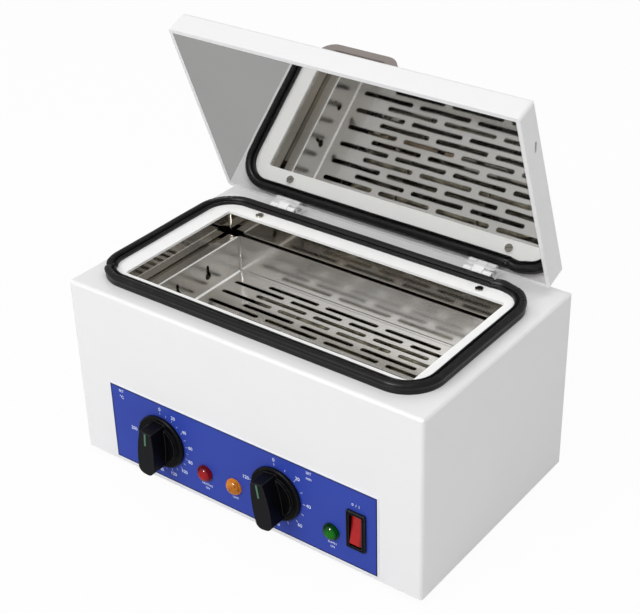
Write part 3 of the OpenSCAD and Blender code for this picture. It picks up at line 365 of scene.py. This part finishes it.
def blackRubber():
    # moulded rubber with a faint bloom and a soft uneven skin
    look = {"fresh": (0.006, 0.006, 0.006), "bloomed": (0.022, 0.022, 0.022), "bloom": 5,
            "bloomPlace": (4, 9, 2), "bloomEdge": (0.55, 0.8), "bloomShare": 0.5, "clouds": 16,
            "rough": (0.28, 0.2), "grain": 0.5, "dents": 3.5, "dentShare": 1.6, "depth": 0.03}
    f = Finish("blackRubber", specular=0.22)
    cloud = f.noise(look["clouds"], detail=3)
    bloom = f.noise(look["bloom"], f.place(look["bloomPlace"]), detail=4).soft(*look["bloomEdge"])
    f.set("colour", f.blend(bloom * look["bloomShare"], look["fresh"], look["bloomed"]))
    f.set("rough", cloud.reach(*look["rough"]))
    f.relief(f.noise(look["grain"]) + f.noise(look["dents"]) * look["dentShare"], look["depth"])
    return f


def mouldedBlack():
    # black plastic with painted light: a painted grey highlight along its edges, and the knobs' front faces
    # painted lighter where the light falls on them
    look = {"deep": (0.0015, 0.0015, 0.002), "black": (0.004, 0.004, 0.0045), "clouds": 11,
            "face": (0.0095, 0.0100, 0.0110), "faceEdge": (0.6, 1.6), "paintedEdgeHighlight": (0.070, 0.072, 0.075),
            "paintedEdgeHighlightWidth": 0.6, "paintedEdgeHighlightEdge": (0.015, 0.20), "rough": (0.30, 0.14), "grain": 0.35,
            "depth": 0.012, "softened": 0.7}
    f = Finish("mouldedBlack", specular=0.08)
    cloud = f.noise(look["clouds"])
    [y] = f.parts(f.place(), "Y")
    # painted light: the knobs' front faces are painted lighter than the rest
    paintedLitFace = (y - knobFace).near(*look["faceEdge"])
    plain = f.blend(paintedLitFace, f.blend(cloud, look["deep"], look["black"]), look["face"])
    # painted highlight: a grey line along every edge
    f.set("colour", f.blend(f.edges(look["paintedEdgeHighlightWidth"]).soft(*look["paintedEdgeHighlightEdge"]), plain, look["paintedEdgeHighlight"]))
    f.set("rough", cloud.reach(*look["rough"]))
    f.relief(f.noise(look["grain"], detail=1), look["depth"], look["softened"])
    return f


def plainPlastic(name, light, dark, rough):
    return cloudyFinish(name, light, dark, clouds=12, rough=(rough, 0.12),
                        grain={"size": 0.4, "detail": 1, "depth": 0.012})


def whitePlastic():
    return plainPlastic("whitePlastic", (0.74, 0.73, 0.70), (0.66, 0.65, 0.61), 0.38)


def handleGrey():
    return plainPlastic("handleGrey", (0.255, 0.224, 0.209), (0.22, 0.193, 0.178), 0.34)


def blueFoil():
    # foil: blue, with a dark line inside a white edge, both by the distance to the foil's edges
    look = {"blue": (0.030, 0.062, 0.40), "deep": (0.026, 0.054, 0.36), "clouds": 40,
            "line": (0.008, 0.012, 0.07), "lineEdge": (1.55, 2.55), "white": (0.82, 0.84, 0.90),
            "whiteEdge": (0.95, 1.10), "rough": (0.30, 0.12), "grain": 0.45, "depth": 0.006}
    low, high = nodeBox("control_panel")
    half = (high - low) / 2
    f = Finish("blueFoil", specular=0.22)
    x, z = f.parts(f.place(nodeMiddle("control_panel")), "XZ")
    inside = (half[0] - x.size()).least(half[2] - z.size())
    cloud = f.noise(look["clouds"])
    blue = f.blend(cloud, look["blue"], look["deep"])
    lined = f.blend(inside.soft(*look["lineEdge"]), look["line"], blue)
    f.set("colour", f.blend(inside.soft(*look["whiteEdge"]), look["white"], lined))
    f.set("rough", cloud.reach(*look["rough"]))
    f.relief(f.noise(look["grain"], detail=1), look["depth"])
    return f


def lampLens(name, node, core, rim, streak):
    # clear coloured dome: painted light and shade give it a lit core right of its middle and a rim of
    # another tone, darker on the red and green and lighter on the orange; darker streaks, rays and rings
    # pressed into it, and the tone glows faintly
    look = {"radius": 6.4, "shift": (1.5, 0.4), "shadeEdge": (0.20, 0.95), "streaks": 1.7,
            "streakEdge": (0.54, 0.64), "streakShare": 0.8, "streakFade": 0.7, "glow": 0.12, "rays": 9.0,
            "rayShare": 0.5, "rings": 2.2, "ringShare": 0.4, "depth": 0.008}
    f = Finish(name, coat=0.5, coatRough=0.04, ior=1.49, rough=0.2, specular=0.05, glowStrength=look["glow"])
    x, z = f.parts(f.place(nodeMiddle(node)), "XZ")
    across, up = x - look["shift"][0], z - look["shift"][1]
    radius = (x * x + z * z) ** 0.5
    # painted light and shade: a lit core, and a rim painted darker on red and green and lighter on orange
    shade = ((across * across + up * up) ** 0.5 / look["radius"]).soft(*look["shadeEdge"])
    streaks = f.noise(look["streaks"]).soft(*look["streakEdge"]) * (1.0 - shade * look["streakFade"])
    tone = f.blend(streaks * look["streakShare"], f.blend(shade, core, rim), streak)
    f.set("colour", tone)
    f.set("glow", tone)
    rays = (z.math("ARCTAN2", x) * look["rays"]).math("SINE")
    rings = (radius * look["rings"]).math("SINE")
    f.relief(rays * look["rayShare"] + rings * look["ringShare"], look["depth"])
    return f


def redLens():
    return lampLens("redLens", "red_lens", core=(0.34, 0.006, 0.010), rim=(0.09, 0.002, 0.006),
                    streak=(0.22, 0.004, 0.008))


def orangeLens():
    return lampLens("orangeLens", "orange_lens", core=(0.40, 0.130, 0.010), rim=(0.60, 0.205, 0.018),
                    streak=(0.14, 0.026, 0.005))


def greenLens():
    return lampLens("greenLens", "green_lens", core=(0.001, 0.150, 0.002), rim=(0.0005, 0.022, 0.002),
                    streak=(0.001, 0.05, 0.004))


def rockerRed():
    # clear red plastic with painted light and shade: painted bright in its middle, painted darker towards
    # both sides
    look = {"bright": (0.50, 0.008, 0.010), "dull": (0.38, 0.006, 0.008), "deep": (0.10, 0.002, 0.006),
            "clouds": 7, "rightEdge": (1.4, 4.4), "rightShare": 0.85, "leftEdge": (3.6, 5.4),
            "leftShare": 0.6, "rough": (0.2, 0.1), "grain": 0.5, "depth": 0.006}
    f = Finish("rockerRed", coat=0.4, coatRough=0.05, specular=0.25)
    cloud = f.noise(look["clouds"])
    [x] = f.parts(f.place(nodeMiddle("switch_rocker")), "X")
    # painted shade towards both sides of the rocker, over the painted light of its middle
    deep = x.soft(*look["rightEdge"]) * look["rightShare"] + (-x).soft(*look["leftEdge"]) * look["leftShare"]
    f.set("colour", f.blend(deep, f.blend(cloud, look["bright"], look["dull"]), look["deep"]))
    f.set("rough", cloud.reach(*look["rough"]))
    f.relief(f.noise(look["grain"], detail=1), look["depth"])
    return f


def greenLine():
    return cloudyFinish("greenLine", light=(0.075, 0.22, 0.13), dark=(0.05, 0.16, 0.09), clouds=0.8,
                        detail=2, rough=(0.4, 0.1))


def mineralWool():
    # pressed wool: threads that lie along x, over slow clouds
    look = {"light": (0.72, 0.69, 0.56), "dark": (0.48, 0.45, 0.35), "threads": 1.0,
            "stretch": (0.3, 1.6, 1.6), "threadShare": 0.6, "clouds": 18, "cloudShare": 0.4,
            "rough": (0.85, 0.1), "depth": 0.6}
    f = Finish("mineralWool", sheen=0.3)
    threads = f.noise(look["threads"], f.place(stretch=look["stretch"]), detail=5, rough=0.7)
    cloud = f.noise(look["clouds"], detail=3)
    mask = threads * look["threadShare"] + cloud * look["cloudShare"]
    f.set("colour", f.blend(mask, look["light"], look["dark"]))
    f.set("rough", cloud.reach(*look["rough"]))
    f.relief(threads, look["depth"])
    return f


def printWhite():
    return cloudyFinish("printWhite", light=(0.74, 0.80, 0.96), dark=(0.62, 0.70, 0.92), clouds=0.9,
                        detail=2, rough=(0.42, 0.1))


slotFinish = {
    "white_enamel": whiteEnamel(), "stainless": tubSteel(), "mirror_steel": mirrorSteel(),
    "zinc_steel": zincSteel(), "heater_sheath": heaterSheath(), "copper_sheath": copperSheath(),
    "brass": brassFinish(), "black_rubber": blackRubber(), "black_plastic": mouldedBlack(),
    "white_plastic": whitePlastic(), "grey_plastic": handleGrey(), "blue_foil": blueFoil(),
    "red_lens": redLens(), "orange_lens": orangeLens(), "green_lens": greenLens(),
    "green_line": greenLine(), "wool": mineralWool(),
}
nodeFinish = {"slotted_tray": traySteel(), "switch_rocker": rockerRed(), "chamber_rim": paintedLitRimEnamel()}


def dressNodes():
    for part in frame["record"]["subparts"]:
        obj = frame["nodes"][part["node"]]
        finish = nodeFinish.get(part["node"]) or slotFinish[part["material_slot"]]
        if not obj.material_slots:
            obj.data.materials.append(finish.material)
        for place in obj.material_slots:
            place.material = finish.material


dressNodes()
print("finishes on", len(frame["nodes"]), "nodes")


# new pieces

def makePiece(name, points, faces, finish, body, smooth=True, hides=()):
    # points in mm; the object itself stays at the origin
    mesh = bpy.data.meshes.new(name)
    mesh.from_pydata((points * mm).tolist(), [], faces)
    mesh.materials.append(finish.material)
    mesh.polygons.foreach_set("use_smooth", [smooth] * len(mesh.polygons))
    mesh.update()
    obj = bpy.data.objects.new(name, mesh)
    bpy.context.scene.collection.objects.link(obj)
    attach(obj, body)
    if hides:
        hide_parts(*hides)


def ringFaces(rows, columns):
    # four-sided faces of a grid of points that closes on itself both ways
    i, j = [index.ravel() for index in np.meshgrid(np.arange(rows), np.arange(columns), indexing="ij")]
    here, there = i * columns, (i + 1) % rows * columns
    after = (j + 1) % columns
    return np.stack([here + j, there + j, there + after, here + after], 1)


def roundedLoop(width, depth, radius, step):
    # a rectangle with round corners walked at even steps: the distance walked, the points,
    # the outward directions, and how far into a bend each point is (0 to 1 and back)
    x, y, bend = width / 2 - radius, depth / 2 - radius, math.pi * radius / 2
    total = 4 * (x + y + bend)
    s = np.linspace(0, total, int(total / step), endpoint=False)
    points, outward, corner = np.zeros((len(s), 2)), np.zeros((len(s), 2)), np.zeros(len(s))
    centres = np.array([(-x, -y), (x, -y), (x, y), (-x, y)])
    at = 0.0
    for k in range(4):
        side = centres[(k + 1) % 4] - centres[k]
        length = np.linalg.norm(side)
        part = (s >= at) & (s < at + length + bend)
        along = np.clip(s[part] - at, 0, length)
        bent = np.clip(s[part] - at - length, 0, bend)
        turn = math.radians(90 * k - 90) + bent / radius
        outward[part] = np.stack([np.cos(turn), np.sin(turn)], 1)
        points[part] = centres[k] + np.outer(along / length, side) + radius * outward[part]
        corner[part] = np.sin(bent / bend * math.pi)
        at += length + bend
    return s, points, outward, corner


# gasket ring

gasketWidth, gasketDepth, gasketHeight = nodeSize("lid_gasket")
# an arc has its first and last angle and its count of points
gasket = {"middle": nodeMiddle("lid_gasket"), "width": gasketWidth, "depth": gasketDepth,
          "high": gasketHeight, "radius": 28.0, "step": 1.4, "rim": 3.6, "wide": 8.4, "bulb": 2.8,
          "bulbArc": (-8, 218, 26), "lip": 0.75, "lipArc": (0, 180, 9), "lipHigh": 6.4, "web": 0.9,
          "slope": 0.2, "foot": 0.6, "footHigh": 2.2, "under": 3.1}
# a wave has its share, length and phase; the swell beside the kink and the bulges beside the joint
# have their distance along the loop, their length and how far they stand out
uneven = {"wander": 0.25, "waves": [(0.5, 23.0, 0.0), (0.3, 9.7, 1.3), (0.2, 51.0, 0.4)], "held": 0.3,
          "wrinkle": 0.30, "wrinkleLength": 4.2, "beat": 0.8, "beatLength": 3.1, "limits": (-1.5, 3.0),
          "leastHeight": 0.4, "bulbEdge": 0.5, "kinkShare": 0.60, "kinkLength": 2.6, "kinkSink": 1.6,
          "kinkBulbSink": 0.6, "kinkIn": 1.8, "swell": (7.0, 5.0, 0.6), "jointX": 104.0,
          "jointLength": 1.0, "jointSink": 1.4, "jointIn": 0.8,
          "bulges": [(-7.0, 5.0, 1.6), (-24.0, 7.0, 0.96)]}


def arc(x, z, radius, first, last, count):
    t = np.radians(np.linspace(first, last, count))
    return np.stack([x + radius * np.cos(t), z + radius * np.sin(t)], 1)


def gasketProfile():
    # distance in from the outer edge, and height: over the lip, down into the groove,
    # over the bulb and back under its foot
    g = gasket
    edge, floor = g["wide"] - g["under"], g["rim"] + g["web"]
    lipStart, bulbEnd = g["wide"] - 2 * g["lip"], 2 * g["bulb"]
    lip = arc(g["wide"] - g["lip"], g["lipHigh"] - g["lip"], g["lip"], *g["lipArc"])
    groove = [(lipStart, floor + g["slope"]), (lipStart - g["slope"], floor), (bulbEnd + g["slope"], floor)]
    outer = arc(g["bulb"], g["high"] - g["bulb"], g["bulb"], *g["bulbArc"])
    foot = [(g["foot"], g["footHigh"]), (g["foot"], 0.0), (edge, 0.0)]
    onRim = [(edge, g["rim"]), (g["wide"], g["rim"])]
    return np.concatenate([lip, groove, outer, foot, onRim])


def hump(s, at, length):
    return np.exp(-((s - at) / length) ** 2)


def makeGasket():
    # surface(s, p) = loop(s) - outward(s) * (inward(p) + shift(s, p)), at height(p) - sink(s, p):
    # slow waves along the ring, fine wrinkles in its bends, one kink in the last bend and a butt joint
    # at the back; towards the foot the sink fades to nothing and the shift to the share that is held
    g, u = gasket, uneven
    s, base, outward, corner = roundedLoop(g["width"], g["depth"], g["radius"], g["step"])
    inward, height = gasketProfile().T
    bend = math.pi * g["radius"] / 2
    kinkAt = s[-1] + s[1] - bend * u["kinkShare"]
    jointAt = 1.5 * (g["width"] - 2 * g["radius"]) + g["depth"] - 2 * g["radius"] + 2 * bend - u["jointX"]
    wave = sum(share * np.sin(s / length + phase) for share, length, phase in u["waves"])
    ripple = 0.5 + 0.5 * np.sin(2 * math.pi * s / u["wrinkleLength"])
    ripple = ripple * (1 + u["beat"] * np.sin(s / u["beatLength"]))
    kink, joint = hump(s, kinkAt, u["kinkLength"]), hump(s, jointAt, u["jointLength"])
    swellGap, swellLength, swellOut = u["swell"]
    swell = swellOut * hump(s, kinkAt + swellGap, swellLength)
    bulge = sum(out * hump(s, jointAt + gap, length) for gap, length, out in u["bulges"])
    # free is 0 up to the rim's height and 1 at the top
    free = np.clip((height - g["rim"]) / (g["high"] - g["rim"]), 0, 1)
    onBulb = np.clip((2 * g["bulb"] + u["bulbEdge"] - inward) / u["bulbEdge"], 0, 1)
    sink = np.outer(u["wrinkle"] * corner * ripple + kink * u["kinkSink"] + joint * u["jointSink"], free)
    sink = np.minimum(sink + np.outer(kink * u["kinkBulbSink"], free * onBulb),
                      np.maximum(height - g["rim"] - u["leastHeight"], 0))
    shift = u["wander"] * wave + kink * u["kinkIn"] - swell - bulge + joint * u["jointIn"]
    distance = inward + np.clip(np.outer(shift, u["held"] + (1 - u["held"]) * free), *u["limits"])
    x, y = [base[:, k:k + 1] - outward[:, k:k + 1] * distance + g["middle"][k] for k in (0, 1)]
    points = np.stack([x, y, caseTop + height - sink], 2).reshape(-1, 3)
    faces = ringFaces(len(s), len(height)).tolist()
    makePiece("gasketRing", points, faces, slotFinish["black_rubber"], "case",
              hides=["lid_gasket"])


makeGasket()
print("gasket ring made")


# print on the panel

# a dial goes by the joint of its knob; its labels have their text and their angle clockwise from
# the top, and its ticks their first angle, step, count and width
dials = {
    "thermostat_turn": {"labels": [(str(20 * k), 27.0 * k) for k in range(11) if k != 9],
                        "ticks": (0.0, 13.5, 16, 0.22)},
    "timer_turn": {"labels": [(str(20 * k), 46.0 * k - 3.0) for k in range(7)],
                   "ticks": (-3.0, 23.0, 13, 0.35)},
}
lettering = {"size": 3.9, "thick": 0.05, "bold": 0.012, "smooth": 4, "labelRadius": 27.2, "tickRadius": 23.6,
             "tickLength": 2.0}
# text, x, z and size
panelWords = [("SET", -108.5, 68.6, 2.9), ("°C", -108.5, 63.4, 3.6), ("SET", 60.5, 68.6, 2.9),
              ("min", 60.5, 64.2, 3.2), ("HEATING", -31.0, 18.9, 2.3), ("ON", -31.0, 15.7, 2.3),
              ("LIMIT", -5.0, 18.9, 2.3), ("SUPPLY", 79.0, 18.9, 2.3), ("ON", 79.0, 15.7, 2.3),
              ("0  /  I", 98.5, 59.2, 3.0)]


def letterMesh(text, size):
    # a word as a thin solid, in mm, standing in the x and y of the page
    curve = bpy.data.curves.new("word", "FONT")
    curve.body = text
    curve.size = size
    curve.align_x = "CENTER"
    curve.align_y = "CENTER"
    curve.extrude = lettering["thick"] / 2
    curve.offset = size * lettering["bold"]
    curve.resolution_u = lettering["smooth"]
    obj = bpy.data.objects.new("word", curve)
    bpy.context.scene.collection.objects.link(obj)
    bpy.context.view_layer.update()
    mesh = bpy.data.meshes.new_from_object(obj.evaluated_get(bpy.context.evaluated_depsgraph_get()))
    points = np.empty(3 * len(mesh.vertices), np.float32)
    mesh.vertices.foreach_get("co", points)
    faces = [list(p.vertices) for p in mesh.polygons]
    bpy.data.objects.remove(obj)
    bpy.data.curves.remove(curve)
    bpy.data.meshes.remove(mesh)
    return points.reshape(-1, 3).astype(float), faces


def barMesh(length, width):
    # a thin bar along the page's y
    x, y, t = width / 2, length / 2, lettering["thick"] / 2
    points = np.array([[sx * x, sy * y, st * t] for st in (-1, 1) for sy in (-1, 1) for sx in (-1, 1)])
    faces = [[0, 2, 3, 1], [4, 5, 7, 6], [0, 1, 5, 4], [2, 6, 7, 3], [0, 4, 6, 2], [1, 3, 7, 5]]
    return points, faces


def onPanel(shape, x, z, turn=0.0):
    # a page shape laid on the panel at x and z, turned clockwise
    points, faces = shape
    a = math.radians(turn)
    across = points[:, 0] * math.cos(a) + points[:, 1] * math.sin(a)
    up = points[:, 1] * math.cos(a) - points[:, 0] * math.sin(a)
    y = panelFace - lettering["thick"] / 2 - points[:, 2]
    return np.stack([x + across, y, z + up], 1), faces


def dialSpot(joint, radius, angle):
    # x and z at a distance from a knob's axis, taken to a hundredth, and at an angle clockwise from the top
    x, z = np.round(np.array(joint["pos_m"])[[0, 2]] / mm, 2)
    a = math.radians(angle)
    return x + radius * math.sin(a), z + radius * math.cos(a)


def makePrint():
    joints = {joint["name"]: joint for joint in frame["record"]["behaviour"]["joints"]}
    shapes = []
    for name, dial in dials.items():
        for text, angle in dial["labels"]:
            x, z = dialSpot(joints[name], lettering["labelRadius"], angle)
            shapes.append(onPanel(letterMesh(text, lettering["size"]), x, z))
        first, step, count, width = dial["ticks"]
        for k in range(count):
            x, z = dialSpot(joints[name], lettering["tickRadius"], first + step * k)
            shapes.append(onPanel(barMesh(lettering["tickLength"], width), x, z, first + step * k))
    for text, x, z, size in panelWords:
        shapes.append(onPanel(letterMesh(text, size), x, z))
    points, faces, count = [], [], 0
    for some, corners in shapes:
        points.append(some)
        faces.extend([[v + count for v in face] for face in corners])
        count += len(some)
    makePiece("dialPrint", np.concatenate(points), faces, printWhite(), "case", smooth=False)


makePrint()
print("print made")


# floor and light, with lengths in m

room = {"white": (1, 1, 1), "floorSize": 6.0, "floorColour": (0.80, 0.80, 0.80), "floorRough": 0.9,
        "floorGlow": 0.95, "floorMirrored": 0.45, "skyDiffuse": 0.60, "skyMirrored": 0.62,
        "window": (-0.10, -0.60, 0.79), "windowEdge": (0.900, 0.975), "windowGlow": 2.3}
# the key and fill lamps only light the part, and the spark lamp is only seen mirrored in it
lamps = {
    "keyLamp": {"place": (-0.75, -1.80, 1.25), "size": (1.2, 0.9), "power": 18.0, "mirrored": False},
    "fillLamp": {"place": (0.55, -0.5, 1.9), "size": (1.4, 1.0), "power": 9.8, "mirrored": False},
    "sparkLamp": {"place": (-0.21, -1.91, 1.18), "size": (0.30, 0.30), "power": 32.0, "mirrored": True},
}
lampAim = (0, 0, 0.1)


def makeFloor():
    # white to the camera, greyer where it is mirrored, and a plain pale floor to all other light
    half = room["floorSize"] / 2
    mesh = bpy.data.meshes.new("floor")
    corners = [(-half, -half, 0), (half, -half, 0), (half, half, 0), (-half, half, 0)]
    mesh.from_pydata(corners, [], [(0, 1, 2, 3)])
    obj = bpy.data.objects.new("floor", mesh)
    bpy.context.scene.collection.objects.link(obj)
    f = Finish("paleFloor", colour=room["floorColour"], rough=room["floorRough"])
    seen = f.put("ShaderNodeLightPath", out="Is Camera Ray")
    mirrored = f.put("ShaderNodeLightPath", out="Is Glossy Ray")
    strength = seen.most(mirrored * room["floorMirrored"])
    glow = f.put("ShaderNodeEmission", {}, {"Color": room["white"], "Strength": strength})
    share = seen.most(mirrored) * room["floorGlow"]
    mix = f.put("ShaderNodeMixShader", {}, {0: share, 1: Wire(f, f.shader.outputs[0]), 2: glow})
    f.feed(f.tree.nodes["Material Output"].inputs["Surface"], mix)
    mesh.materials.append(f.material)


def makeSky():
    # white to the camera, softer as light, and grey with one bright window where it is mirrored
    world = bpy.data.worlds.new("studio")
    bpy.context.scene.world = world
    world.use_nodes = True
    sky = Graph(world.node_tree)
    seen = sky.put("ShaderNodeLightPath", out="Is Camera Ray")
    mirrored = sky.put("ShaderNodeLightPath", out="Is Glossy Ray")
    diffuse = sky.put("ShaderNodeLightPath", out="Is Diffuse Ray")
    direction = sky.put("ShaderNodeTexCoord", out="Generated")
    window = np.array(room["window"]) / np.linalg.norm(room["window"])
    near = sky.vector("DOT_PRODUCT", direction, window, "Value").soft(*room["windowEdge"])
    mirror = near.reach(room["skyMirrored"], room["windowGlow"] - room["skyMirrored"])
    background = sky.tree.nodes["Background"]
    sky.feed(background.inputs["Color"], room["white"])
    sky.feed(background.inputs["Strength"], seen + diffuse * room["skyDiffuse"] + mirrored * mirror)


def makeLamp(name, place, size, power, mirrored):
    data = bpy.data.lights.new(name, "AREA")
    data.shape = "RECTANGLE"
    data.size, data.size_y = size
    data.energy = power
    obj = bpy.data.objects.new(name, data)
    obj.location = place
    obj.visible_glossy = mirrored
    obj.visible_diffuse = not mirrored
    # turned so that it shines at lampAim
    x, y, z = np.subtract(place, lampAim)
    obj.rotation_euler = (math.atan2(math.hypot(x, y), z), 0, math.atan2(y, x) + math.pi / 2)
    bpy.context.scene.collection.objects.link(obj)


makeFloor()
makeSky()
for name, lamp in lamps.items():
    makeLamp(name, **lamp)
bpy.context.scene.view_settings.view_transform = "Standard"
print("floor and light made")
